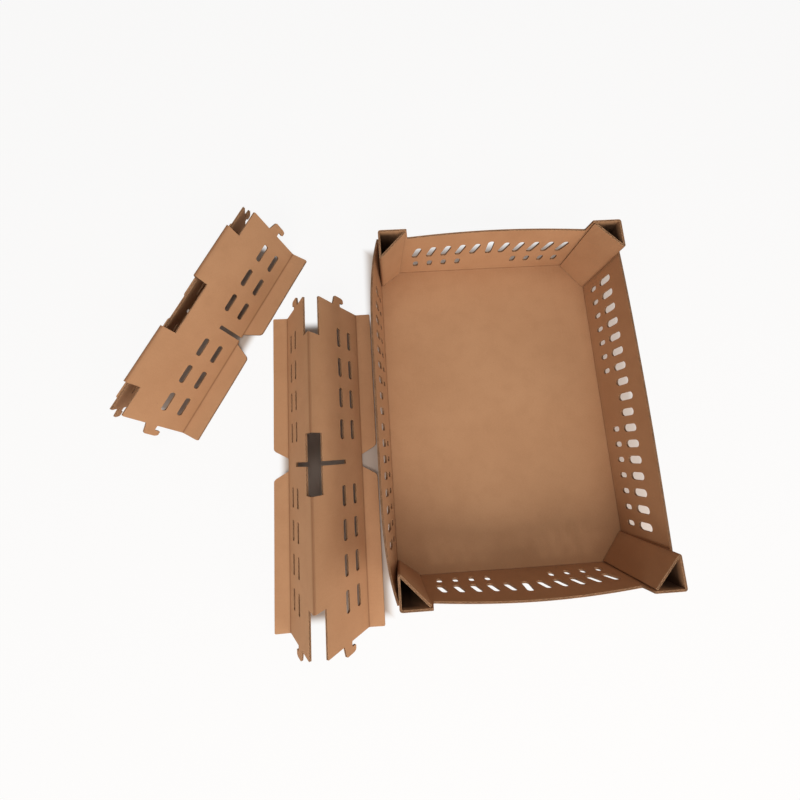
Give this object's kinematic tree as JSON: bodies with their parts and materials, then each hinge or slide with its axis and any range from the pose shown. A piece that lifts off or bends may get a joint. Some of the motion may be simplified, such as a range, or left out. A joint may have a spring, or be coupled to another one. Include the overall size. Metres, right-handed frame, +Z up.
{
  "type": "baby chick box",
  "caption": "Open corrugated cardboard tray with vented bowed walls and hollow corner posts, with its two tent-folded cross dividers standing beside it.",
  "frame": {"origin": "middle of the tray's underside, on the surface that the tray and both dividers stand on", "axes": "+X across the tray, away from the dividers; +Y along the tray towards its back wall; +Z up"},
  "size_m": [0.9563, 0.822, 0.138],
  "materials": {
    "tray_board": "matte kraft liner",
    "divider_board": "matte kraft liner"
  },
  "bodies": {
    "root": {"tray": "tray_board", "long_divider": "divider_board", "short_divider": "divider_board"}
  },
  "joints": []
}
